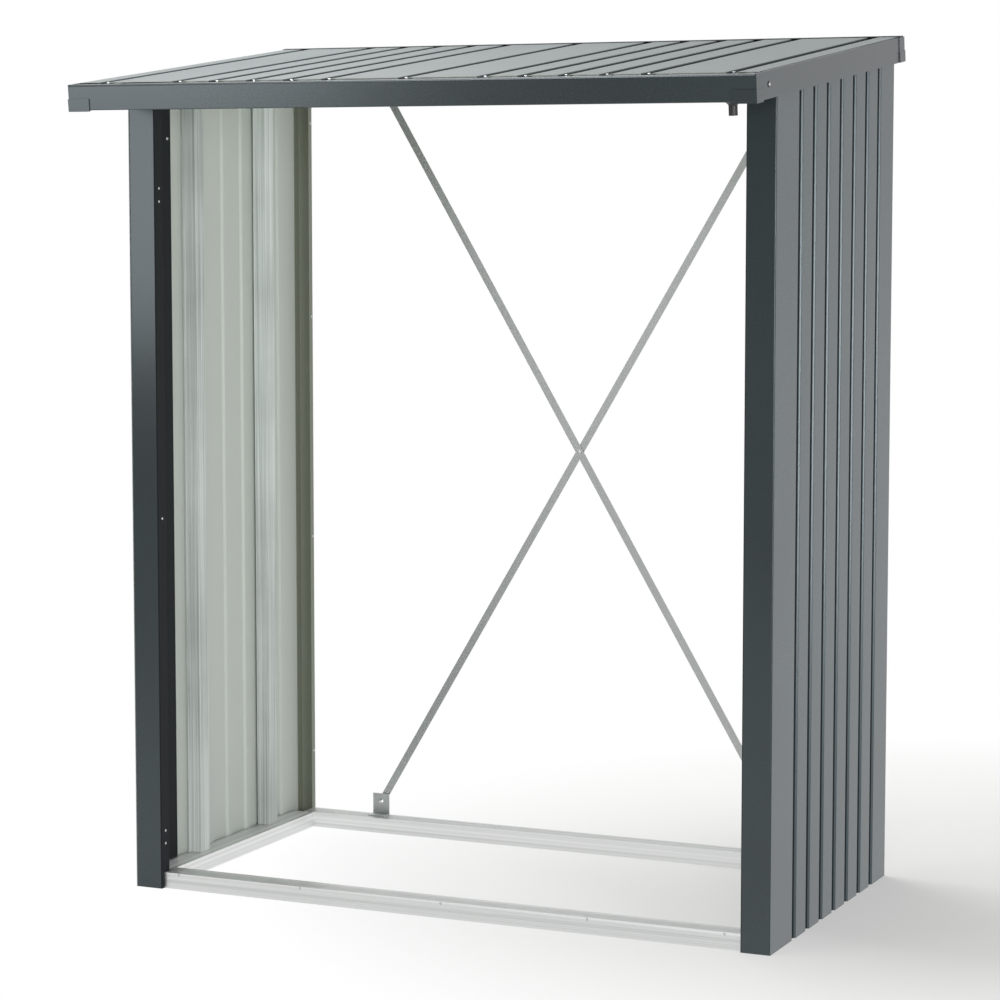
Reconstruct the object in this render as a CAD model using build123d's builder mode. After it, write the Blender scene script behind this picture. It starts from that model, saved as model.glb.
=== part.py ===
from build123d import *

import os
from math import atan2, cos, degrees, hypot, radians, sin, tan

# An open log store: two ribbed steel side walls on an aluminium floor frame, a shallow
# lean-to roof tray of folded steel with a gutter along its low front edge, and two crossed
# straps that stiffen the open back. Millimetres, X to the right seen from the open front,
# Y towards the back, Z up. The origin is on the ground, under the middle of the whole store.

# Walls and posts
bay_width = 1520.0          # outside of one side wall to outside of the other
wall_depth = 800.0          # front of the front posts to back of the back posts
wall_gauge = 1.0            # sheet of the side walls
post_gauge = 1.5            # folded sheet of the posts
post_bend = 2.5             # outside bend radius of the posts
front_post_face = 66.0      # width of a front post seen from the front
front_post_return = 35.0    # how far it turns back into the bay
front_post_lip = 15.0       # last fold, back towards the wall
front_post_leg = 168.0      # leg that runs back behind the wall sheet
post_joggle = 14.0          # length of the step that takes the leg behind the ribs
back_post_face = 38.0
back_post_return = 18.0
back_post_leg = 26.0

# Ribs pressed into walls and roof: shallow grooves seen from outside
rib_pitch = 90.0
rib_mouth = 26.0
rib_floor = 18.0
rib_depth = 6.0
rib_bend = 2.0
wall_rib_first = 151.0      # front of the post to the middle of the first groove
wall_rib_count = 7
roof_rib_steps = (2, 3, 4, 5, 6, 8)      # grooves of one roof panel, in pitches from the seam
roof_rib_margin = 10.0      # least flat sheet between the last groove and the panel edge

# Upright stiffeners inside each wall, fluted aluminium tubes
stiffener_width = 40.0
stiffener_reach = 33.0      # how far they stand out from the wall ribs
stiffener_wall = 1.8
first_stiffener = 243.0     # front of the post to the middle of a stiffener
second_stiffener = 576.0

# Flutes drawn along every aluminium profile
flute_pitch = 5.5
flute_width = 2.6
flute_depth = 0.8

# Floor frame, fluted aluminium profiles
sill_height = 36.0
sill_depth = 55.0
sill_setback = 11.0         # front of the post to the front of the sill
sill_wall = 1.8
rail_width = 57.5
rail_clearance = 1.5        # side rail behind the lip of the front post

# Rails under the roof
top_rail_height = 20.0
top_rail_width = 31.5
back_rail_height = 36.0
back_rail_depth = 33.0
back_rail_setback = 15.0    # back of the posts to the back of the rail

# Roof tray, measured along the slope
side_overhang = 25.0        # roof beyond the outside of each wall
roof_length = 1000.0
roof_pitch = 6.7            # degrees
eave_height = 1749.0        # underside of the gutter at its front edge
tray_setback = 5.33         # level distance from the back of the posts to the tray
fascia_height = 55.5
fascia_gauge = 1.2
fascia_bend = 1.8
roof_gauge = 1.0
side_flange = 60.0          # bottom flange of a side fascia, carried by the wall
side_top_flange = 20.0
gutter_width = 50.0
gutter_lip = 9.0
lip_chamfer = 4.0
gutter_ledge = 16.0         # flange behind the gutter that carries the panels
panel_nosing = 8.0          # how far the panels reach over the gutter
panel_side_gap = 6.0        # panel edge to the outside of the side fascia
panel_end_gap = 3.0
seam_gap = 0.6
back_flange = 60.0
back_cover = 22.0           # fold of the back fascia over the panel ends
beam_width = 30.0
beam_gauge = 1.5
beam_end_gap = 0.8          # end of a beam to the web of the side fascia
front_beam_setback = 4.0    # front of the posts to the front of the beam
back_beam_inset = 15.0      # back of the roof to the back of its beam
rafter_width = 40.0
rafter_height = 30.0

# Corner caps of the roof tray
cap_front = 50.0
cap_side = 38.0
cap_height = 25.0
cap_proud = 2.5
cap_plate = 1.6
cap_floor = 2.5

# Drain spout under the gutter
spout_side_inset = 57.5     # middle of the spout to the outside of the roof
spout_flare_radius = 17.0
spout_flare_height = 10.0
spout_radius = 9.0
spout_bore = 7.2
spout_length = 27.5

# Crossed straps over the open back
strap_width = 18.0
strap_gauge = 2.0
strap_hole = 6.5
strap_end_inset = 230.0     # middle of a strap end to the outside of the wall
strap_foot_height = 68.0
strap_drop = 20.0           # top end below the underside of the roof tray
lug_width = 44.0
lug_height = 52.0
lug_foot = 30.0
lug_gauge = 2.0

# Derived places
rise = sin(radians(roof_pitch))
run = cos(radians(roof_pitch))
half_bay = bay_width / 2
half_roof = half_bay + side_overhang
front_overhang = roof_length * run - wall_depth + tray_setback
front_y = (front_overhang + fascia_height * rise - wall_depth) / 2
back_y = front_y + wall_depth
eave_y = front_y - front_overhang
sheet_x = half_bay - wall_gauge                  # inside of the flat wall sheet
rib_x = sheet_x - rib_depth                      # inside of the pressed ribs
leg_x = rib_x - post_gauge                       # inside of the front post leg
post_x = half_bay - front_post_face              # inside of a front post
back_post_x = half_bay - back_post_face
stiffener_x = rib_x - stiffener_reach
panel_under = fascia_height - rib_depth          # underside of the roof ribs, on the tray
panel_top = fascia_height + roof_gauge
web_x = half_roof - fascia_gauge                 # inside of the web of a side fascia
wall_ribs = [front_y + wall_rib_first + rib_pitch * i for i in range(wall_rib_count)]
panel_edge = half_roof - panel_side_gap
last_rib = panel_edge - roof_rib_margin - rib_mouth / 2
roof_ribs = [rib_pitch * step for step in roof_rib_steps if rib_pitch * step <= last_rib]


def slope_point(x, up_slope, above):
    """Point of the roof tray: x, distance up the slope, height square to the slope."""
    return (
        x,
        eave_y + up_slope * run - above * rise,
        eave_height + up_slope * rise + above * run,
    )


def underside(y):
    """Height of the underside of the roof tray over a place y on the ground."""
    return eave_height + (y - eave_y) * tan(radians(roof_pitch))


def across_roof(x):
    """Plane for sections of pieces that run along X: sketched up the slope and square to it."""
    return Plane(origin=slope_point(x, 0, 0), x_dir=(0, run, rise), z_dir=(1, 0, 0))


def along_roof(up_slope):
    """Plane for sections of pieces that run up the slope: sketched in X and square to it."""
    return Plane(origin=slope_point(0, up_slope, 0), x_dir=(1, 0, 0), z_dir=(0, -run, -rise))


tray_plane = Plane(origin=slope_point(0, 0, 0), x_dir=(1, 0, 0), z_dir=(0, -rise, run))


def folded(points, gauge, side, bend):
    """Section of a folded sheet: the line through the points, thickened to one side."""
    with BuildLine() as outline:
        FilletPolyline(*points, radius=bend)
        offset(amount=gauge, side=side)
    make_face(outline.edges())


def ribbed_line(start, ribs, end, level, depth):
    """Points of a sheet line from start to end at a level, with a groove at each rib."""
    points = [(start, level)]
    for middle in ribs:
        points.append((middle - rib_mouth / 2, level))
        points.append((middle - rib_floor / 2, level - depth))
        points.append((middle + rib_floor / 2, level - depth))
        points.append((middle + rib_mouth / 2, level))
    points.append((end, level))
    return points


def flutes(count, at, along_x):
    """A row of shallow flutes cut into one edge of a profile section."""
    x_count, y_count = (count, 1) if along_x else (1, count)
    size = (flute_width, 2 * flute_depth) if along_x else (2 * flute_depth, flute_width)
    with Locations(at):
        with GridLocations(flute_pitch, flute_pitch, x_count, y_count):
            Rectangle(*size, mode=Mode.SUBTRACT)


def save(piece, name):
    """Label a finished piece and write it as one STEP file."""
    piece.part.label = name
    export_step(piece.part, f"parts/{name}.step")


def save_pair(piece, name):
    """Write a piece of the right side, and its mirror image for the left side."""
    save(piece, f"right_{name}")
    with BuildPart() as mirrored:
        mirror(piece.part, about=Plane.YZ)
    save(mirrored, f"left_{name}")


os.makedirs("parts", exist_ok=True)

# Side walls: one ribbed sheet from the ground to the underside of the roof tray
with BuildPart() as wall_sheet:
    with BuildSketch(Plane.XY):
        line = ribbed_line(front_y, wall_ribs, back_y, half_bay, rib_depth)
        folded([(x, y) for y, x in line], wall_gauge, Side.LEFT, rib_bend)
    extrude(amount=underside(back_y) + fascia_height)
    split(bisect_by=tray_plane, keep=Keep.BOTTOM)
save_pair(wall_sheet, "wall_sheet")

# Front posts: folded channels, their long leg stepped inwards to lie behind the ribs
with BuildPart() as front_post:
    with BuildSketch(Plane.XY):
        folded(
            [
                (rib_x, front_y + front_post_leg),
                (rib_x, front_y + 2 * post_joggle),
                (sheet_x, front_y + post_joggle),
                (sheet_x, front_y),
                (post_x, front_y),
                (post_x, front_y + front_post_return),
                (post_x + front_post_lip, front_y + front_post_return),
            ],
            post_gauge,
            Side.RIGHT,
            post_bend,
        )
    extrude(amount=underside(back_y) + fascia_height)
    split(bisect_by=tray_plane, keep=Keep.BOTTOM)
save_pair(front_post, "front_post")

# Back posts: narrow folded channels that close the back edge of each wall
with BuildPart() as back_post:
    with BuildSketch(Plane.XY):
        folded(
            [
                (sheet_x, back_y - back_post_leg),
                (sheet_x, back_y),
                (back_post_x, back_y),
                (back_post_x, back_y - back_post_return),
            ],
            post_gauge,
            Side.LEFT,
            post_bend,
        )
    extrude(amount=underside(back_y) + fascia_height)
    split(bisect_by=tray_plane, keep=Keep.BOTTOM)
save_pair(back_post, "back_post")

# Floor frame: front and back sills between the posts, side rails along the walls
for name, reach, face_y, inward in (
    ("front_sill", post_x, front_y + sill_setback, 1),
    ("back_sill", back_post_x, back_y - sill_setback, -1),
):
    with BuildPart() as sill:
        with BuildSketch(Plane.YZ.offset(-reach)):
            middle_y = face_y + inward * sill_depth / 2
            with Locations((middle_y, sill_height / 2)):
                Rectangle(sill_depth, sill_height)
                Rectangle(sill_depth - 2 * sill_wall, sill_height - 2 * sill_wall, mode=Mode.SUBTRACT)
            flutes(5, (face_y, sill_height / 2), along_x=False)
            flutes(8, (middle_y, sill_height), along_x=True)
        extrude(amount=2 * reach)
    save(sill, name)

rail_front_y = front_y + front_post_return + rail_clearance
rail_back_y = back_y - sill_setback - sill_depth
with BuildPart() as base_rail:
    with BuildSketch(Plane.XZ.offset(-rail_front_y)):
        with Locations((leg_x - rail_width / 2, sill_height / 2)):
            Rectangle(rail_width, sill_height)
            Rectangle(rail_width - 2 * sill_wall, sill_height - 2 * sill_wall, mode=Mode.SUBTRACT)
        flutes(8, (leg_x - rail_width / 2, sill_height), along_x=True)
    extrude(amount=rail_front_y - rail_back_y)
save_pair(base_rail, "base_rail")

# Top rails: tubes along the head of each side wall, between the posts
rail_rear_y = back_y - back_rail_setback
rail_fore_y = rail_rear_y - back_rail_depth
top_rail_front = (rail_front_y - eave_y) / run
top_rail_back = (rail_fore_y - top_rail_height * rise - eave_y) / run
with BuildPart() as top_rail:
    with BuildSketch(along_roof(top_rail_front)):
        with Locations((leg_x - top_rail_width / 2, -top_rail_height / 2)):
            Rectangle(top_rail_width, top_rail_height)
            Rectangle(
                top_rail_width - 2 * post_gauge,
                top_rail_height - 2 * post_gauge,
                mode=Mode.SUBTRACT,
            )
    extrude(amount=top_rail_front - top_rail_back)
save_pair(top_rail, "top_rail")

# Stiffeners: fluted tubes that stand on the base rail, under the top rail
for name, distance in (("first_stiffener", first_stiffener), ("second_stiffener", second_stiffener)):
    with BuildPart() as stiffener:
        with BuildSketch(Plane.XY.offset(sill_height)):
            middle_y = front_y + distance
            with Locations((rib_x - stiffener_reach / 2, middle_y)):
                Rectangle(stiffener_reach, stiffener_width)
                Rectangle(
                    stiffener_reach - 2 * stiffener_wall,
                    stiffener_width - 2 * stiffener_wall,
                    mode=Mode.SUBTRACT,
                )
            flutes(6, (stiffener_x, middle_y), along_x=False)
            for side in (-1, 1):
                edge = middle_y + side * stiffener_width / 2
                flutes(5, (rib_x - stiffener_reach / 2, edge), along_x=True)
        extrude(amount=underside(back_y))
        split(bisect_by=tray_plane.offset(-top_rail_height), keep=Keep.BOTTOM)
    save_pair(stiffener, name)

# Back top rail: joins the heads of the back posts and carries the straps
with BuildPart() as back_top_rail:
    with BuildSketch(Plane.YZ.offset(-back_post_x)):
        with BuildLine():
            Polyline(
                (rail_fore_y, underside(rail_rear_y) - back_rail_height),
                (rail_rear_y, underside(rail_rear_y) - back_rail_height),
                (rail_rear_y, underside(rail_rear_y)),
                (rail_fore_y, underside(rail_fore_y)),
                close=True,
            )
        make_face()
        offset(amount=-post_gauge, mode=Mode.SUBTRACT)
    extrude(amount=2 * back_post_x)
save(back_top_rail, "back_top_rail")

# Gutter: the low front edge of the tray, an open trough with a folded lip
spout_x = half_roof - spout_side_inset
with BuildPart() as gutter:
    with BuildSketch(across_roof(-web_x)):
        folded(
            [
                (gutter_lip, fascia_height),
                (lip_chamfer, fascia_height),
                (0, fascia_height - lip_chamfer),
                (0, 0),
                (gutter_width, 0),
                (gutter_width, panel_under - fascia_gauge),
                (gutter_width + gutter_ledge, panel_under - fascia_gauge),
            ],
            fascia_gauge,
            Side.LEFT,
            fascia_bend,
        )
    extrude(amount=2 * web_x)
    with BuildSketch(tray_plane):
        with Locations((spout_x, gutter_width / 2)):
            Circle(spout_bore)
    extrude(amount=fascia_gauge, mode=Mode.SUBTRACT)
save(gutter, "gutter")

# Drain spout: a flared socket under the gutter floor that runs into a short tube
with BuildPart() as drain_spout:
    with BuildSketch(along_roof(gutter_width / 2)):
        with BuildLine():
            bore_top = (spout_x + spout_bore, 0)
            bore_end = (spout_x + spout_bore, -spout_length)
            flare_top = (spout_x + spout_flare_radius, 0)
            flare_end = (spout_x + spout_radius, -spout_flare_height)
            Line(bore_top, flare_top)
            Spline(flare_top, flare_end, tangents=[(-1, -1), (0, -1)])
            Polyline(flare_end, (spout_x + spout_radius, -spout_length), bore_end, bore_top)
        make_face()
    revolve(axis=Axis(slope_point(spout_x, gutter_width / 2, 0), (0, -rise, run)))
save(drain_spout, "drain_spout")

# Side fascias: channels that lie on the wall heads and carry the edges of the panels; the
# web alone runs on to close the ends of the gutter and of the back fascia
with BuildPart() as side_fascia:
    with BuildSketch(along_roof(gutter_width)):
        folded(
            [
                (half_roof - side_top_flange, fascia_height),
                (half_roof, fascia_height),
                (half_roof, 0),
                (half_roof - side_flange, 0),
            ],
            fascia_gauge,
            Side.RIGHT,
            fascia_bend,
        )
    extrude(amount=gutter_width + back_flange - roof_length)
    with BuildSketch(along_roof(0)):
        with Locations((half_roof - fascia_gauge / 2, fascia_height / 2)):
            Rectangle(fascia_gauge, fascia_height)
    extrude(amount=-roof_length)
save_pair(side_fascia, "side_fascia")

# Back fascia: a channel along the high edge, folded over the ends of the panels
with BuildPart() as back_fascia:
    with BuildSketch(across_roof(-web_x)):
        folded(
            [
                (roof_length - back_flange, 0),
                (roof_length, 0),
                (roof_length, panel_top + fascia_gauge),
                (roof_length - back_cover, panel_top + fascia_gauge),
            ],
            fascia_gauge,
            Side.LEFT,
            fascia_bend,
        )
    extrude(amount=2 * web_x)
save(back_fascia, "back_fascia")

# Roof beams: channels across the tray, over the front and the back posts
front_beam_start = (front_y + front_beam_setback - eave_y) / run
front_beam_end = front_beam_start + beam_width
back_beam_end = roof_length - back_beam_inset
back_beam_start = back_beam_end - beam_width
for name, web, edge, inside in (
    ("front_roof_beam", front_beam_end, front_beam_start, Side.LEFT),
    ("back_roof_beam", back_beam_start, back_beam_end, Side.RIGHT),
):
    with BuildPart() as beam:
        with BuildSketch(across_roof(beam_end_gap - web_x)):
            folded(
                [(edge, fascia_gauge), (web, fascia_gauge), (web, panel_under), (edge, panel_under)],
                beam_gauge,
                inside,
                post_bend,
            )
        extrude(amount=2 * (web_x - beam_end_gap))
    save(beam, name)

# Rafter: an upturned channel under the seam of the two panels, from beam to beam
with BuildPart() as rafter:
    with BuildSketch(along_roof(front_beam_end)):
        folded(
            [
                (-rafter_width / 2, panel_under - rafter_height),
                (-rafter_width / 2, panel_under),
                (rafter_width / 2, panel_under),
                (rafter_width / 2, panel_under - rafter_height),
            ],
            beam_gauge,
            Side.RIGHT,
            post_bend,
        )
    extrude(amount=front_beam_end - back_beam_start)
save(rafter, "seam_rafter")

# Roof panels: ribbed sheets that meet on the floor of the middle groove
panel_start = gutter_width - panel_nosing
with BuildPart() as roof_panel:
    with BuildSketch(along_roof(panel_start)):
        groove_level = panel_top - rib_depth
        seam = [(seam_gap / 2, groove_level), (rib_floor / 2, groove_level)]
        folded(
            seam + ribbed_line(rib_mouth / 2, roof_ribs, panel_edge, panel_top, rib_depth),
            roof_gauge,
            Side.RIGHT,
            rib_bend,
        )
    extrude(amount=panel_start + panel_end_gap - roof_length)
save_pair(roof_panel, "roof_panel")

# Corner caps: angle pieces that wrap the lower half of each corner of the tray, with a thin
# plate above them on the side; the front ones have a floor under the gutter end
for name, floor, corner, inward in (
    ("front_cap", cap_floor, 0, 1),
    ("back_cap", 0, roof_length, -1),
):
    with BuildPart() as cap:
        outside_x = half_roof + cap_proud
        outside_v = corner - inward * cap_proud
        side_v = corner + inward * cap_side
        with BuildSketch(tray_plane.offset(-floor)):
            with BuildLine():
                Polyline(
                    (half_roof, side_v),
                    (outside_x, side_v),
                    (outside_x, outside_v),
                    (half_roof - cap_front, outside_v),
                    (half_roof - cap_front, corner),
                    (half_roof, corner),
                    close=True,
                )
            make_face()
        extrude(amount=floor + cap_height)
        if floor:
            with BuildSketch(tray_plane.offset(-floor)):
                with Locations((half_roof - cap_side / 2, corner + inward * cap_side / 2)):
                    Rectangle(cap_side, cap_side)
            extrude(amount=floor)
        with BuildSketch(tray_plane.offset(cap_height)):
            with Locations((half_roof + cap_plate / 2, corner + inward * cap_side / 2)):
                Rectangle(cap_plate, cap_side)
        extrude(amount=fascia_height - cap_height)
    save_pair(cap, name)

# Lugs: angles on the back sill that take the lower ends of the straps
strap_end_x = half_bay - strap_end_inset
with BuildPart() as strap_lug:
    with BuildSketch(Plane.YZ.offset(strap_end_x - lug_width / 2)):
        folded(
            [
                (rail_rear_y - lug_foot, sill_height),
                (rail_rear_y, sill_height),
                (rail_rear_y, sill_height + lug_height),
            ],
            lug_gauge,
            Side.LEFT,
            post_bend,
        )
    extrude(amount=lug_width)
    with BuildSketch(Plane.XZ.offset(-rail_rear_y)):
        with Locations((strap_end_x, strap_foot_height)):
            Circle(strap_hole / 2)
    extrude(amount=lug_gauge, mode=Mode.SUBTRACT)
save_pair(strap_lug, "strap_lug")

# Crossed straps: flat bars one behind the other, screwed at the ends and where they cross
strap_top = underside(rail_rear_y) - strap_drop
strap_middle = (strap_foot_height + strap_top) / 2
strap_run = hypot(2 * strap_end_x, strap_top - strap_foot_height)
strap_angle = degrees(atan2(strap_top - strap_foot_height, 2 * strap_end_x))
for name, turn, layer in (("falling_strap", -1, 1), ("rising_strap", 1, 2)):
    with BuildPart() as strap:
        with BuildSketch(Plane.XZ.offset(-rail_rear_y - layer * strap_gauge)):
            with Locations((0, strap_middle)):
                SlotCenterToCenter(strap_run, strap_width, rotation=turn * strap_angle)
            ends = [(-turn * strap_end_x, strap_foot_height), (turn * strap_end_x, strap_top)]
            with Locations(ends[0], (0, strap_middle), ends[1]):
                Circle(strap_hole / 2, mode=Mode.SUBTRACT)
        extrude(amount=strap_gauge)
    save(strap, name)

# Spacers: washers that fill the step behind both ends of the outer strap
with BuildPart() as strap_spacers:
    with BuildSketch(Plane.XZ.offset(-rail_rear_y - strap_gauge)):
        with Locations(*ends):
            Circle(strap_width / 2)
            Circle(strap_hole / 2, mode=Mode.SUBTRACT)
    extrude(amount=strap_gauge)
save(strap_spacers, "strap_spacers")
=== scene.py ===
# %% [markdown]
# # Dressing an open log store
#
# The store comes in as a finished CAD frame: folded steel posts, ribbed wall and roof sheets,
# an aluminium floor frame, and a roof tray with a gutter. Its shapes are right already, so this
# lesson is about two things: finishes that look like painted, galvanised and extruded metal,
# and the small fasteners that a fabricator would drive last. Lengths are in metres, X runs to
# the right seen from the open front, Y to the back, and Z up.

import bpy
import numpy as np
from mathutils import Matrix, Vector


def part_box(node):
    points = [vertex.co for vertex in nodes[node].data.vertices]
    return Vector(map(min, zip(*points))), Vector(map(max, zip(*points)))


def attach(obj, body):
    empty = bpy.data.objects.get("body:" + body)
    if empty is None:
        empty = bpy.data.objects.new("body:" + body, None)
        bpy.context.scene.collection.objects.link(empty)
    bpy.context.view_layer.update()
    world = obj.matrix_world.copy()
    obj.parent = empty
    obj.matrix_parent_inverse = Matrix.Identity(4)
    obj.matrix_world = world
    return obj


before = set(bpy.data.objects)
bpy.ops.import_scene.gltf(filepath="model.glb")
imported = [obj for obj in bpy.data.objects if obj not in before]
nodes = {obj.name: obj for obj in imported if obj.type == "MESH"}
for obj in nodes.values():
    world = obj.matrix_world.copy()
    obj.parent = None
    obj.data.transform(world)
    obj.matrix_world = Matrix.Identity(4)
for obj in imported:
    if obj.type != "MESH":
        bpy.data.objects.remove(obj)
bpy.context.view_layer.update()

# %% [markdown]
# ## Places taken from the frame
#
# Fasteners must sit on the sheets that they hold. The tilt of the roof and the front of the
# posts are enough to work out every seat, so they are read once from the frame's boxes instead
# of being guessed by eye.

# %% Places
MM = 0.001
roof_pitch = np.radians(6.7)
run, rise = np.cos(roof_pitch), np.sin(roof_pitch)
fascia_height, roof_gauge = 55.5, 1.0
front_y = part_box("right_front_post")[0][1]
back_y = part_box("right_back_post")[1][1]
wall_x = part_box("right_wall_sheet")[1][0]
eave_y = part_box("gutter")[0][1] + fascia_height * MM * rise
eave_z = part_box("gutter")[0][2]


def on_roof(x, up_slope, above):
    """Roof point: up_slope along the tilted sheet, above square to it, all in millimetres."""
    x, up_slope, above = np.broadcast_arrays(x, up_slope, above)
    y = eave_y + (up_slope * run - above * rise) * MM
    z = eave_z + (up_slope * rise + above * run) * MM
    return np.stack([x * MM, y, z], axis=-1)


roof_out = (0.0, -rise, run)
print("front of posts y =", round(front_y, 4), "eave y =", round(eave_y, 4))

# %% [markdown]
# ## One helper for shader nodes
#
# A material is a small graph. Adding each node with its settings and links in one call keeps
# the recipe readable, so a single helper serves every material below. Colours are written as
# the sRGB hex values a painter would note, and one function turns them to the linear light
# that the renderer wants. A Mix node keeps sockets for every kind of data: the factor is 0, the
# two colours are 6 and 7, and the mixed colour comes out at 2.

# %% Node and colour helpers
def add(tree, kind, inputs=None, **settings):
    """Adds a node, sets its own settings, then fills or links the inputs that are given."""
    made = tree.nodes.new(kind)
    for name, value in settings.items():
        setattr(made, name, value)
    for name, value in (inputs or {}).items():
        if isinstance(value, bpy.types.NodeSocket):
            tree.links.new(value, made.inputs[name])
        else:
            made.inputs[name].default_value = value
    return made


def linear(code):
    """sRGB hex to linear RGBA: c / 12.92 below 0.04045, else ((c + 0.055) / 1.055) ** 2.4."""
    srgb = np.array([int(code[i : i + 2], 16) for i in (1, 3, 5)]) / 255
    low, high = srgb / 12.92, ((srgb + 0.055) / 1.055) ** 2.4
    return (*np.where(srgb <= 0.04045, low, high), 1.0)


# %% [markdown]
# ## Powder-coated sheet
#
# The posts, fascias, outsides of the walls and the roof are galvanised steel sheet with a
# baked polyester powder coat in a metallic grey. Powder melts and flows before it sets, which
# leaves a faint orange peel, and the pigment holds fine flakes that glint a little. The film is
# a plastic, so the shader is a plain dielectric with an IOR of 1.5 and a satin roughness. The
# flakes are a fine change of brightness, and they cool the gloss a little, which the tint of
# the specular gives. A real peel is about 0.5 mm across and would vanish in the picture, so it
# is drawn at about 3 mm.
#
# The inside of a wall or roof sheet is not colour coated but primed in a pale grey green. One
# sheet has both finishes, so a mask picks the side: where a face's normal points back towards
# the middle of the store, that face is inside. On the front posts, fascias and gutter the same
# mask gives the inside a near-black colour, which is painted shade. A second mask, the depth
# below the flat sheet, makes the pressed grooves and the gutter's trough dark and matt: painted
# shade in those recesses.
#
# The upright stiffeners are primed all over, in a cooler grey. On them the same noise is drawn
# out along Z into light and dark lines, painted highlights and painted shade standing in for the
# light on their flutes.

# %% Masks for painted shade in the grooves and for the inside
INWARD = -0.02


# Painted shade: this mask darkens the pressed grooves and the gutter's trough by their depth.
def groove_shade_mask(tree, place, direction, height, shallow, deep):
    """0 on the flat sheet, rising to 1 between two depths below it, given in millimetres.

    A point's level is the size of place . direction, and the flat sheet lies at height.
    """
    along = add(
        tree,
        "ShaderNodeVectorMath",
        {0: place.outputs["Object"], 1: direction},
        operation="DOT_PRODUCT",
    )
    level = add(tree, "ShaderNodeMath", {0: along.outputs["Value"]}, operation="ABSOLUTE")
    ends = {"From Min": height - shallow * MM, "From Max": height - deep * MM}
    groove = add(tree, "ShaderNodeMapRange", {"Value": level.outputs["Value"], **ends})
    return groove.outputs["Result"]


def inside_mask(tree, place, outward):
    """1 on faces that look into the store: where normal . (place * outward) is below INWARD."""
    away = add(
        tree,
        "ShaderNodeVectorMath",
        {0: place.outputs["Object"], 1: outward},
        operation="MULTIPLY",
    )
    facing = add(
        tree,
        "ShaderNodeVectorMath",
        {0: away.outputs["Vector"], 1: place.outputs["Normal"]},
        operation="DOT_PRODUCT",
    )
    inside = add(
        tree, "ShaderNodeMath", {0: facing.outputs["Value"], 1: INWARD}, operation="LESS_THAN"
    )
    return inside.outputs["Value"]


# The first mask paints shade into the grooves.
print("masks: dirt in grooves, primer where the facing is below", INWARD)

# %% Painted steel sheet
CLOUD_SCALE = 2.2
FLAKE_WIDTH = 2.2 * MM
FLAKE_SHARE = 0.8
FLAKE_TINT = "#e4f0f6"
PEEL_WIDTH = 3 * MM
RECESS_ROUGHNESS = 0.95
PAINT_IOR = 1.5


def powder_coat(
    name,
    coat,
    shade,
    rough,
    shine,
    primer_and_shade=None,
    outward=(1, 0, 0),
    flat=None,
    # painted shade in the grooves, near black unless given
    recess_shade="#07080a",
    spread=(1, 1, 1),
):
    """Two tones of one coat mixed by slow noise and flakes, with orange peel.

    A spread below 1 along X, Y or Z draws the flakes out into lines that way. The pair for the
    inside is its colour and roughness, which inside_mask picks: a primed finish on some parts and
    a near-black painted shade on others. flat holds what the groove mask needs: a direction, the
    height of the flat sheet along it, and two depths. Below the flat sheet the coat turns to a
    dark, matt colour, which is painted shade.
    """
    material = bpy.data.materials.new(name)
    material.use_nodes = True
    tree = material.node_tree
    shader = tree.nodes["Principled BSDF"]
    place = add(tree, "ShaderNodeTexCoord")
    slow = add(
        tree,
        "ShaderNodeTexNoise",
        {"Vector": place.outputs["Object"], "Scale": CLOUD_SCALE, "Detail": 4.0},
    )
    drawn = add(tree, "ShaderNodeMapping", {"Vector": place.outputs["Object"], "Scale": spread})
    flake = add(
        tree,
        "ShaderNodeTexNoise",
        {"Vector": drawn.outputs["Vector"], "Scale": 1 / FLAKE_WIDTH, "Detail": 1.0},
    )
    blend = add(
        tree,
        "ShaderNodeMath",
        {0: flake.outputs["Fac"], 1: FLAKE_SHARE, 2: slow.outputs["Fac"]},
        operation="MULTIPLY_ADD",
    )
    tone = add(
        tree,
        "ShaderNodeMapRange",
        {"Value": blend.outputs["Value"], "From Min": 0.6, "From Max": 1.2},
    )
    tones = {0: tone.outputs["Result"], 6: linear(coat), 7: linear(shade)}
    colour = add(tree, "ShaderNodeMix", tones, data_type="RGBA").outputs[2]
    # Painted shade: below the flat sheet the coat turns to a dark, matt colour.
    if flat:
        groove = groove_shade_mask(tree, place, *flat)
        tones = {0: groove, 6: colour, 7: linear(recess_shade)}
        colour = add(tree, "ShaderNodeMix", tones, data_type="RGBA").outputs[2]
        ends = {"To Min": rough, "To Max": RECESS_ROUGHNESS}
        rough = add(tree, "ShaderNodeMapRange", {"Value": groove, **ends}).outputs["Result"]
    # The inside is primed on the walls, roof and back posts; on the front posts, fascias and gutter
    # its near-black colour is painted shade.
    if primer_and_shade:
        inside_colour, inside_roughness = primer_and_shade
        inside = inside_mask(tree, place, outward)
        tones = {0: inside, 6: colour, 7: linear(inside_colour)}
        colour = add(tree, "ShaderNodeMix", tones, data_type="RGBA").outputs[2]
        ends = {"To Min": rough, "To Max": inside_roughness}
        rough = add(tree, "ShaderNodeMapRange", {"Value": inside, **ends}).outputs["Result"]
    peel = add(
        tree,
        "ShaderNodeTexNoise",
        {"Vector": place.outputs["Object"], "Scale": 1 / PEEL_WIDTH, "Detail": 2.0},
    )
    bump = add(
        tree,
        "ShaderNodeBump",
        {"Height": peel.outputs["Fac"], "Strength": 0.12, "Distance": 0.3 * MM},
    )
    tree.links.new(colour, shader.inputs["Base Color"])
    tree.links.new(bump.outputs["Normal"], shader.inputs["Normal"])
    if isinstance(rough, bpy.types.NodeSocket):
        tree.links.new(rough, shader.inputs["Roughness"])
    else:
        shader.inputs["Roughness"].default_value = rough
    shader.inputs["IOR"].default_value = PAINT_IOR
    shader.inputs["Specular IOR Level"].default_value = shine
    shader.inputs["Specular Tint"].default_value = linear(FLAKE_TINT)
    return material


print("paint: IOR", PAINT_IOR, "peel", PEEL_WIDTH, "m")

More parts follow.
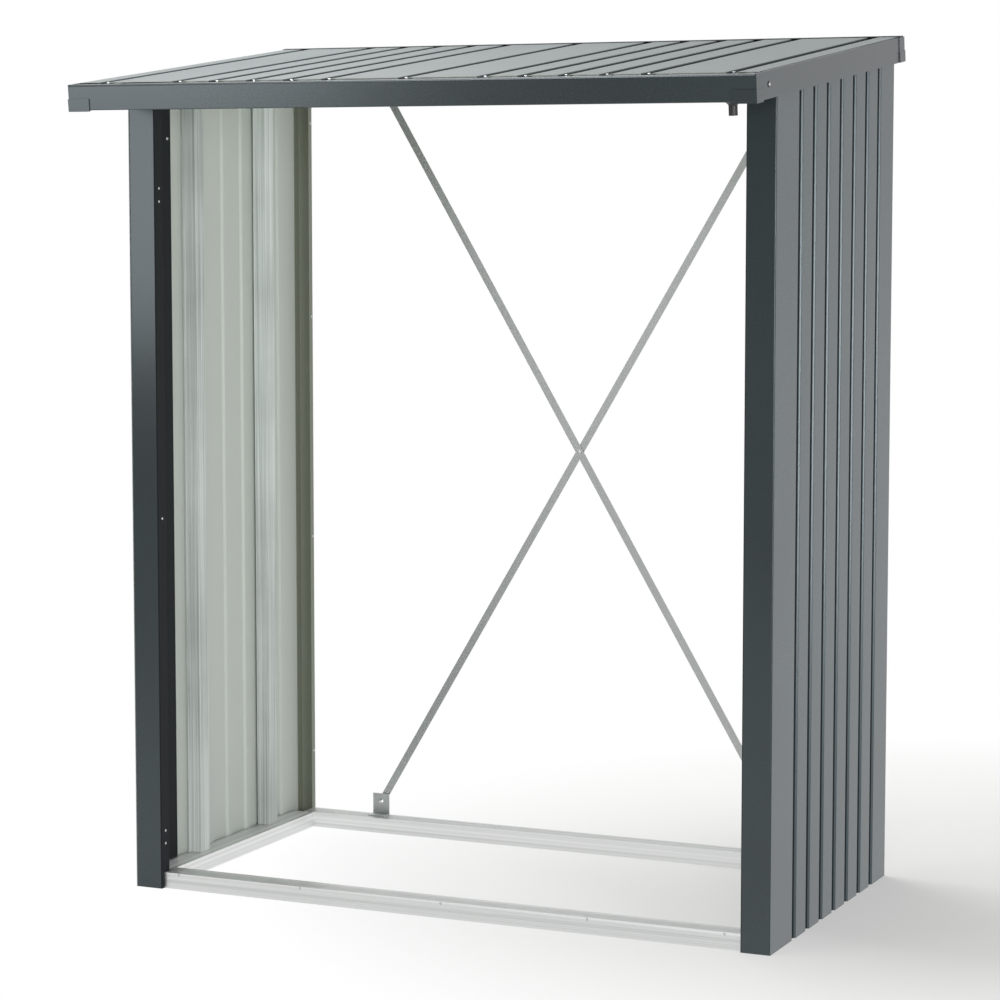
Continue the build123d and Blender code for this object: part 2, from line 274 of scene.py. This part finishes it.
# %% Coats of the walls and the roof
roof_top = float(np.dot(on_roof(0, 0, fascia_height + roof_gauge), roof_out))
gutter_front = abs(eave_y * run + eave_z * rise)
# The store has one coat colour. Each part gets its own tone of it: lighter on the roof, a painted
# sheen, and darker on the fascias and gutter, painted shade.
tray = {"coat": "#282f31", "shade": "#1d2325", "rough": 0.25, "shine": 0.9, "outward": (0, 1, 0)}
wall_coat = powder_coat(
    "powder_coated_wall_sheet",
    coat="#465054",
    shade="#3d464a",
    rough=0.24,
    shine=0.5,
    primer_and_shade=("#c3c9c2", 0.5),
    # painted shade: the wall's grooves turn dark
    flat=((1, 0, 0), wall_x, 3.4, 4.4),
    recess_shade="#15191b",
)
roof_coat = powder_coat(
    "powder_coated_roof_sheet",
    coat="#5b6462",
    shade="#4d5554",
    rough=0.42,
    shine=0.8,
    primer_and_shade=("#c3cac2", 0.5),
    outward=(0, 0, 1),
    # painted shade: the roof's grooves turn near black
    flat=(roof_out, roof_top, 0.5, 3),
)
gutter_coat = powder_coat(
    "powder_coated_gutter",
    **tray,
    # painted shade: the gutter's inside is near black
    primer_and_shade=("#16191a", 0.6),
    # painted shade: the gutter's trough turns dark
    flat=((0, run, rise), gutter_front, 14, 17),
    recess_shade="#2c3234",
)
# The fascias' inside is near black: painted shade.
fascia_coat = powder_coat("powder_coated_fascia", **tray, primer_and_shade=("#0d0e0f", 0.6))
print("coats:", wall_coat.name, roof_coat.name, gutter_coat.name, fascia_coat.name)

# %% Coats of the posts and stiffeners
# The front posts get a darker tone of the same coat: painted shade.
post_coat = powder_coat(
    "powder_coated_post",
    coat="#2e3537",
    shade="#252b2d",
    rough=0.21,
    shine=0.7,
    # painted shade: the inside of the front posts is near black and matt
    primer_and_shade=("#060708", 0.95),
)
back_post_coat = powder_coat(
    "powder_coated_back_post",
    coat="#4c5356",
    shade="#3f4649",
    rough=0.32,
    shine=0.6,
    primer_and_shade=("#7c8172", 0.5),
    outward=(1, 1, 0),
)
primed = powder_coat(
    "primed_stiffener",
    coat="#e6ebe8",
    shade="#a3a9a5",
    rough=0.35,
    shine=0.5,
    # painted highlights and shade: light and dark lines along the flutes
    spread=(0.5, 0.5, 0.004),
)
print("coats:", post_coat.name, back_post_coat.name, primed.name)

# %% [markdown]
# ## Mill-finish aluminium and galvanised steel
#
# The floor frame is extruded aluminium left as it came from the die: bright, with drag lines
# along the profile. The lines are finer than a pixel on the real one, so they are drawn about
# 8 mm apart. The straps, lugs and hidden rails are steel dipped in zinc, greyer and duller, with
# soft crystal patches about 12 mm across. Both are metals, so their metallic is 1 and the IOR
# stays at its default.

# %% Bare metals
ROUGHNESS_SPREAD = 0.05


def bare_metal(name, light, dark, rough, grain, spread=(1, 1, 1)):
    """A metal whose tone follows noise of a grain in millimetres.

    A spread below 1 along X, Y or Z draws the grain out into lines that way.
    """
    material = bpy.data.materials.new(name)
    material.use_nodes = True
    tree = material.node_tree
    shader = tree.nodes["Principled BSDF"]
    place = add(tree, "ShaderNodeTexCoord")
    stretched = add(tree, "ShaderNodeMapping", {"Vector": place.outputs["Object"], "Scale": spread})
    streaks = add(
        tree,
        "ShaderNodeTexNoise",
        {"Vector": stretched.outputs["Vector"], "Scale": 1 / (grain * MM), "Detail": 3.0},
    )
    tones = {0: streaks.outputs["Fac"], 6: linear(light), 7: linear(dark)}
    colour = add(tree, "ShaderNodeMix", tones, data_type="RGBA").outputs[2]
    ends = {"To Min": rough - ROUGHNESS_SPREAD, "To Max": rough + ROUGHNESS_SPREAD}
    matt = add(tree, "ShaderNodeMapRange", {"Value": streaks.outputs["Fac"], **ends})
    tree.links.new(colour, shader.inputs["Base Color"])
    tree.links.new(matt.outputs["Result"], shader.inputs["Roughness"])
    shader.inputs["Metallic"].default_value = 1.0
    return material


along = {"x": (0.002, 1, 1), "y": (1, 0.002, 1)}
aluminium = {
    axis: bare_metal(
        f"mill_finish_aluminium_{axis}", "#ffffff", "#b8bbb9", rough=0.4, grain=8, spread=spread
    )
    for axis, spread in along.items()
}
zinc = bare_metal("galvanised_steel", "#c6c9c8", "#babdbc", rough=0.5, grain=12)
bright_zinc = bare_metal("bright_zinc_fastener", "#dedfde", "#c4c6c6", rough=0.28, grain=2)
print("metals:", aluminium["x"].name, aluminium["y"].name, zinc.name, bright_zinc.name)

# %% [markdown]
# ## Moulded plastic
#
# The drain spout is black polypropylene and the corner caps are polyamide in the tone of the
# tray, and as glossy as its coat. Both are injection moulded in a spark-eroded mould, which
# gives an even fine grain, drawn here 1.5 mm wide so that it shows.

# %% Moulded plastics
GRAIN_WIDTH = 1.5 * MM


def moulded(name, code, worn, rough):
    """A plastic of one colour with the fine even grain of its mould as bump."""
    material = bpy.data.materials.new(name)
    material.use_nodes = True
    tree = material.node_tree
    shader = tree.nodes["Principled BSDF"]
    place = add(tree, "ShaderNodeTexCoord")
    grain = add(
        tree, "ShaderNodeTexNoise", {"Vector": place.outputs["Object"], "Scale": 1 / GRAIN_WIDTH}
    )
    tones = {0: grain.outputs["Fac"], 6: linear(code), 7: linear(worn)}
    colour = add(tree, "ShaderNodeMix", tones, data_type="RGBA").outputs[2]
    bump = add(
        tree,
        "ShaderNodeBump",
        {"Height": grain.outputs["Fac"], "Strength": 0.2, "Distance": 0.2 * MM},
    )
    tree.links.new(colour, shader.inputs["Base Color"])
    tree.links.new(bump.outputs["Normal"], shader.inputs["Normal"])
    shader.inputs["Roughness"].default_value = rough
    return material


spout_plastic = moulded("moulded_black_spout", "#0c0c0d", "#17181a", 0.4)
# The caps take the tray's darker tone, the same painted shade.
cap_plastic = moulded("moulded_corner_cap", tray["coat"], tray["shade"], tray["rough"])
cap_shader = cap_plastic.node_tree.nodes["Principled BSDF"]
cap_shader.inputs["Specular IOR Level"].default_value = tray["shine"]
cap_shader.inputs["Specular Tint"].default_value = linear(FLAKE_TINT)
print("plastics:", spout_plastic.name, cap_plastic.name)

# %% [markdown]
# ## Give every piece of the frame its finish
#
# The finish depends on what the piece is made from, and for aluminium also on which way it was
# extruded, because the drag lines run along it.

# %% Finishes on the frame
finishes = {
    "wall_sheet": wall_coat,
    "roof_panel": roof_coat,
    "front_post": post_coat,
    "back_post": back_post_coat,
    "gutter": gutter_coat,
    "side_fascia": fascia_coat,
    "back_fascia": fascia_coat,
    "sill": aluminium["x"],
    "base_rail": aluminium["y"],
    "stiffener": primed,
    "rail": zinc,
    "beam": zinc,
    "rafter": zinc,
    "strap": zinc,
    "lug": zinc,
    "spacers": zinc,
    "spout": spout_plastic,
    "cap": cap_plastic,
}
for name, piece in nodes.items():
    finish = next(finishes[word] for word in finishes if word in name)
    piece.data.materials.clear()
    piece.data.materials.append(finish)
print("finished:", len(nodes), "pieces")

# %% [markdown]
# ## Fasteners
#
# Every groove of the roof is screwed to the ledge behind the gutter, and the straps are bolted
# at their ends and where they cross. A head is a turned shape: a profile of radius and height
# carried round an axis. A hexagon is the same thing with a radius that swells towards its six
# corners, so one function makes washers, hexagons and round heads, many at once.

# %% Turned heads
STEPS = 24


def turned_heads(name, profile, seats, out, finish=bright_zinc, slot="galvanised_steel"):
    """Heads turned about the direction out, one on each seat.

    For angle a and profile point (radius, height, six) the surface is
    seat + radius * swell * (cos a * u + sin a * v) + height * out, where u, v and out are
    square to each other and swell is 1, or 1 / cos(a mod 60 - 30 degrees) where six is 1.
    """
    profile = np.asarray(profile, float)
    seats = np.atleast_2d(seats)
    out = np.asarray(out, float) / np.linalg.norm(out)
    u = np.cross(out, (0.0, 0.0, 1.0) if abs(out[2]) < 0.9 else (1.0, 0.0, 0.0))
    u /= np.linalg.norm(u)
    v = np.cross(out, u)
    angle = np.arange(STEPS) * 2 * np.pi / STEPS
    corner = 1 / np.cos(angle % (np.pi / 3) - np.pi / 6)
    radius = profile[:, :1] * (1 + profile[:, 2:] * (corner - 1)) * MM
    circle = np.cos(angle)[:, None] * u + np.sin(angle)[:, None] * v
    rings = radius[..., None] * circle + profile[:, 1, None, None] * MM * out
    ends = profile[[0, -1], 1, None] * MM * out
    head = np.concatenate([rings.reshape(-1, 3), ends])
    corners = (seats[:, None] + head).reshape(-1, 3)
    ring, step = np.meshgrid(np.arange(len(profile) - 1), np.arange(STEPS), indexing="ij")
    after = (step + 1) % STEPS
    a, b = ring * STEPS + step, ring * STEPS + after
    quads = np.stack([a, b, b + STEPS, a + STEPS], axis=-1).reshape(-1, 4)
    low, high = len(profile) * STEPS, len(profile) * STEPS + 1
    last = (len(profile) - 1) * STEPS
    turn, next_turn = np.arange(STEPS), (np.arange(STEPS) + 1) % STEPS
    bottom = np.stack([np.full(STEPS, low), next_turn, turn], axis=-1)
    top = np.stack([np.full(STEPS, high), last + turn, last + next_turn], axis=-1)
    shift = np.arange(len(seats))[:, None, None] * len(head)
    sides = (quads + shift).reshape(-1, 4).tolist()
    caps = (np.concatenate([bottom, top]) + shift).reshape(-1, 3).tolist()
    mesh = bpy.data.meshes.new(name)
    mesh.from_pydata(corners.tolist(), [], sides + caps)
    mesh.materials.append(finish)
    piece = bpy.data.objects.new(name, mesh)
    bpy.context.collection.objects.link(piece)
    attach(piece, "root")
    print(name, len(seats), "heads,", len(mesh.polygons), "faces")


rib_pitch, screw_line, groove_height = 90, 58, 50.5
hexagon_head = [(5.5, 0, 0), (5.5, 1.2, 0), (3.2, 1.4, 0), (3, 1.4, 1), (3, 4.4, 1), (2.2, 5, 0)]
grooves = rib_pitch * np.array([-8, -6, -5, -4, -3, -2, 0, 2, 3, 4, 5, 6, 8])
turned_heads("roof_screws", hexagon_head, on_roof(grooves, screw_line, groove_height), roof_out)

# %% [markdown]
# The side fascias are held by one round-headed screw each, on a black sealing washer, just
# ahead of the posts. The posts are riveted through their narrow return, and one screw near the
# top ties the long leg to the wall. All of these come in a left and a right copy, so a seat is
# written once, for the right side, and mirrored.

# %% Screws and rivets of the two sides
round_head = [(3.6, 0, 0), (3.6, 0.7, 0), (3.0, 1.7, 0), (1.6, 2.4, 0), (0.8, 2.5, 0)]
sealing_washer = [(6.2, 0, 0), (6.2, 0.5, 0), (5.4, 0.9, 0), (3.2, 0.9, 0)]
rivet = [(3.0, 0, 0), (3.0, 0.4, 0), (2.2, 1.0, 0), (0.9, 1.3, 0)]
rubber = moulded("moulded_sealing_rubber", "#101112", "#1b1c1d", 0.6)
fascia_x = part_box("right_side_fascia")[1][0]
return_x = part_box("right_front_post")[0][0]
leg_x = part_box("right_first_stiffener")[1][0] - 1.5 * MM
back_return_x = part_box("right_back_post")[0][0]
front_rivet_y = front_y + 17.7 * MM
leg_screw_y, leg_screw_z = front_y + 152.8 * MM, 1694 * MM
back_rivet_y = back_y - 9 * MM
fascia_screw_y, fascia_screw_z = front_y - 126 * MM, 1786.5 * MM
washer_height = 0.9 * MM
front_heights = np.array([101.7, 130.9, 842.8, 1552.4, 1581.7]) * MM
back_heights = np.array([180, 720, 1266, 1740]) * MM
side_seats = {
    "return_rivets": (rivet, [(return_x, front_rivet_y, z) for z in front_heights], -1),
    "leg_screws": (round_head, [(leg_x, leg_screw_y, leg_screw_z)], -1),
    "back_post_rivets": (rivet, [(back_return_x, back_rivet_y, z) for z in back_heights], -1),
    "fascia_washers": (sealing_washer, [(fascia_x, fascia_screw_y, fascia_screw_z)], 1),
    "fascia_screws": (round_head, [(fascia_x + washer_height, fascia_screw_y, fascia_screw_z)], 1),
}
for name, (profile, seats, way) in side_seats.items():
    rubbery = {"finish": rubber, "slot": "spout_plastic"} if profile is sealing_washer else {}
    for side, sign in (("right", 1), ("left", -1)):
        mirrored = np.array(seats) * (sign, 1, 1)
        turned_heads(f"{side}_{name}", profile, mirrored, (way * sign, 0, 0), **rubbery)

# %% [markdown]
# The straps are bolted through the back rail and the lugs, and to each other where they cross.
# A bolt shows its hexagon head behind the straps and its nut in front. The front sill has a row
# of small screws along the upper edge of its face.

# %% Bolts of the straps and screws of the sill
bolt_head = [(6.5, 0, 0), (6.5, 1.2, 0), (4.6, 1.3, 0), (4.5, 1.3, 1), (4.5, 4.8, 1), (3.4, 5.4, 0)]
strap_low, strap_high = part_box("rising_strap")
strap_back, strap_front = strap_high[1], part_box("falling_strap")[0][1]
half_strap, lug_gauge = 9 * MM, 2 * MM
end_x = strap_high[0] - half_strap
foot_z, top_z = strap_low[2] + half_strap, strap_high[2] - half_strap
middle = (0, (foot_z + top_z) / 2)
rising_ends = [(-end_x, foot_z), (end_x, top_z)]
falling_ends = [(end_x, foot_z), (-end_x, top_z)]


def at_depth(points, y):
    """Seats from (x, z) pairs, all at one depth y."""
    points = np.array(points)
    return np.stack([points[:, 0], np.full(len(points), y), points[:, 1]], axis=-1)


backwards, forwards = (0, 1, 0), (0, -1, 0)
inner_strap_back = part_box("falling_strap")[1][1]
lug_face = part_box("right_strap_lug")[1][1] - lug_gauge
sill_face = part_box("front_sill")[0][1]
feet = [rising_ends[0], falling_ends[0]]
sill_seats = [(x * MM, 32.5 * MM) for x in (-656, -346, 0, 346, 656)]
outer_seats = at_depth([*rising_ends, middle], strap_back)
turned_heads("outer_strap_bolts", bolt_head, outer_seats, backwards)
turned_heads("inner_strap_bolts", bolt_head, at_depth(falling_ends, inner_strap_back), backwards)
turned_heads("strap_centre_nut", bolt_head, at_depth([middle], strap_front), forwards)
turned_heads("strap_foot_nuts", bolt_head, at_depth(feet, lug_face), forwards)
turned_heads("sill_screws", rivet, at_depth(sill_seats, sill_face), forwards, finish=zinc)

# %% [markdown]
# ## Floor, light and backdrop
#
# The store stands on a plain pale floor that runs into a white background. To the camera the
# floor is part lit surface and part plain white. It keeps the soft shadow around the store's
# right back corner, where it falls deepest, and fades to plain white within two metres of that.
#
# Satin paint mirrors the room, so what a glossy ray meets matters as much as the lamps do. The
# world is bright behind the store and dark in front of it, and the floor glows only towards the
# back. That keeps the front posts dark and gives the roof its pale sheen, as in a real studio
# with a white wall behind the object.

# %% Floor
floor_mesh = bpy.data.meshes.new("studio_floor")
reach = 30.0
floor_mesh.from_pydata(
    [(-reach, -reach, 0), (reach, -reach, 0), (reach, reach, 0), (-reach, reach, 0)],
    [],
    [(0, 1, 2, 3)],
)
floor = bpy.data.objects.new("studio_floor", floor_mesh)
bpy.context.collection.objects.link(floor)
print("floor:", 2 * reach, "m wide")

# %% Floor paint
shade_middle = (1.1, 0.6, 0)
floor_paint = bpy.data.materials.new("matt_white_floor")
floor_paint.use_nodes = True
tree = floor_paint.node_tree
shader = tree.nodes["Principled BSDF"]
shader.inputs["Base Color"].default_value = linear("#e9e9e6")
shader.inputs["Roughness"].default_value = 0.9
shader.inputs["Specular IOR Level"].default_value = 0.1
path = add(tree, "ShaderNodeLightPath")
ground = add(tree, "ShaderNodeTexCoord")
far = add(
    tree,
    "ShaderNodeVectorMath",
    {0: ground.outputs["Object"], 1: shade_middle},
    operation="DISTANCE",
)
ends = {"From Min": 0.7, "From Max": 1.8, "To Min": 0.32, "To Max": 1}
fade = add(tree, "ShaderNodeMapRange", {"Value": far.outputs["Value"], **ends})
depth = add(tree, "ShaderNodeSeparateXYZ", {"Vector": ground.outputs["Object"]})
ends = {"From Min": -2.6, "From Max": -0.5, "To Min": 0, "To Max": 0.95}
near = add(tree, "ShaderNodeMapRange", {"Value": depth.outputs["Y"], **ends})
seen = add(
    tree,
    "ShaderNodeMath",
    {0: path.outputs["Is Camera Ray"], 1: fade.outputs["Result"]},
    operation="MULTIPLY",
)
share = add(
    tree,
    "ShaderNodeMath",
    {0: path.outputs["Is Glossy Ray"], 1: near.outputs["Result"], 2: seen.outputs["Value"]},
    operation="MULTIPLY_ADD",
)
glow = add(tree, "ShaderNodeEmission", {"Color": (1, 1, 1, 1), "Strength": 1})
mixed = add(
    tree,
    "ShaderNodeMixShader",
    {0: share.outputs["Value"], 1: shader.outputs["BSDF"], 2: glow.outputs["Emission"]},
)
tree.links.new(mixed.outputs["Shader"], tree.nodes["Material Output"].inputs["Surface"])
floor_mesh.materials.append(floor_paint)
print("floor paint:", floor_paint.name)

# %% White world
world = bpy.data.worlds.new("white_studio")
bpy.context.scene.world = world
world.use_nodes = True
tree = world.node_tree
path = add(tree, "ShaderNodeLightPath")
shown = add(
    tree,
    "ShaderNodeMath",
    {0: path.outputs["Is Camera Ray"], 1: path.outputs["Is Transmission Ray"]},
    operation="MAXIMUM",
)
gaze = add(tree, "ShaderNodeTexCoord")
split = add(tree, "ShaderNodeSeparateXYZ", {"Vector": gaze.outputs["Generated"]})
ends = {"From Min": -0.9, "From Max": 0.1, "To Min": 0.12, "To Max": 0.85}
behind = add(tree, "ShaderNodeMapRange", {"Value": split.outputs["Y"], **ends})
gloss = add(
    tree,
    "ShaderNodeMath",
    {0: behind.outputs["Result"], 1: path.outputs["Is Glossy Ray"]},
    operation="MULTIPLY",
)
ends = {"From Min": -1, "From Max": 1, "To Min": 0.56, "To Max": 0.26}
fill = add(tree, "ShaderNodeMapRange", {"Value": split.outputs["Y"], **ends})
plain = add(
    tree,
    "ShaderNodeMath",
    {0: path.outputs["Is Diffuse Ray"], 1: fill.outputs["Result"], 2: gloss.outputs["Value"]},
    operation="MULTIPLY_ADD",
)
level = add(
    tree,
    "ShaderNodeMath",
    {0: shown.outputs["Value"], 1: plain.outputs["Value"]},
    operation="MAXIMUM",
)
sky = tree.nodes["Background"]
tree.links.new(level.outputs["Value"], sky.inputs["Strength"])
sky.inputs["Color"].default_value = (1, 1, 1, 1)
print("world:", world.name)

# %% [markdown]
# ## Lamps
#
# Area lamps stand in for softboxes. A wide one overhead gives the plain level at which a finish
# renders about as its colour is written. One at the right side stands where the flanks of the
# wall's grooves mirror it, so each groove gets one narrow bright line. The other two lift the
# fronts of the posts and grade the long fascia from light at the left to dark at the right.

# %% Lamps
def softbox(name, place, aim, width, height, watts):
    """An area lamp at place, turned to face aim."""
    lamp = bpy.data.lights.new(name, "AREA")
    lamp.shape = "RECTANGLE"
    lamp.size, lamp.size_y, lamp.energy = width, height, watts
    rig = bpy.data.objects.new(name, lamp)
    rig.location = place
    gaze = np.array(aim) - np.array(place)
    rig.rotation_mode = "QUATERNION"
    rig.rotation_quaternion = Vector(gaze).to_track_quat("-Z", "Y")
    bpy.context.collection.objects.link(rig)
    print(name, watts, "W")


softbox("overhead_softbox", (-1.6, 0.8, 5.0), (0, 0, 0.8), 3.5, 3.5, 190)
softbox("right_side_softbox", (4.6, -3.1, 1.0), (0.8, 0.1, 1.0), 1.0, 1.9, 92)
softbox("right_front_softbox", (2.6, -5.5, 1.7), (0.3, 0, 1.0), 1.7, 1.7, 95)
softbox("left_front_softbox", (-2.25, -3.2, 1.76), (-0.7, -0.5, 1.76), 1.35, 1.35, 21)

# %% [markdown]
# ## Camera
#
# A long lens stands a little below the roof's edge, six and a half metres off and to the right.
# It looks down by about five degrees, so the uprights stay nearly upright, and it needs only a
# small shift, which leaves the store whole in the picture from every other side too.

# %% Camera
sensor_width, focal_widths = 36, 3.0043
look_down, look_left = 0.0938, 0.42392
lens = bpy.data.cameras.new("camera")
lens.lens = sensor_width * focal_widths
lens.sensor_width = sensor_width
lens.shift_y = -0.03
camera = bpy.data.objects.new("camera", lens)
camera.location = (2.75798, -6.08407, 1.58367)
camera.rotation_euler = (np.pi / 2 - look_down, 0, look_left)
lens.clip_end = 100
bpy.context.collection.objects.link(camera)
bpy.context.scene.camera = camera
print("camera:", round(lens.lens, 1), "mm lens at", tuple(camera.location))

# %% [markdown]
# ## Last settings
#
# The Standard view transform shows each colour as it was written.

# %% View settings and finish
bpy.context.scene.view_settings.view_transform = "Standard"
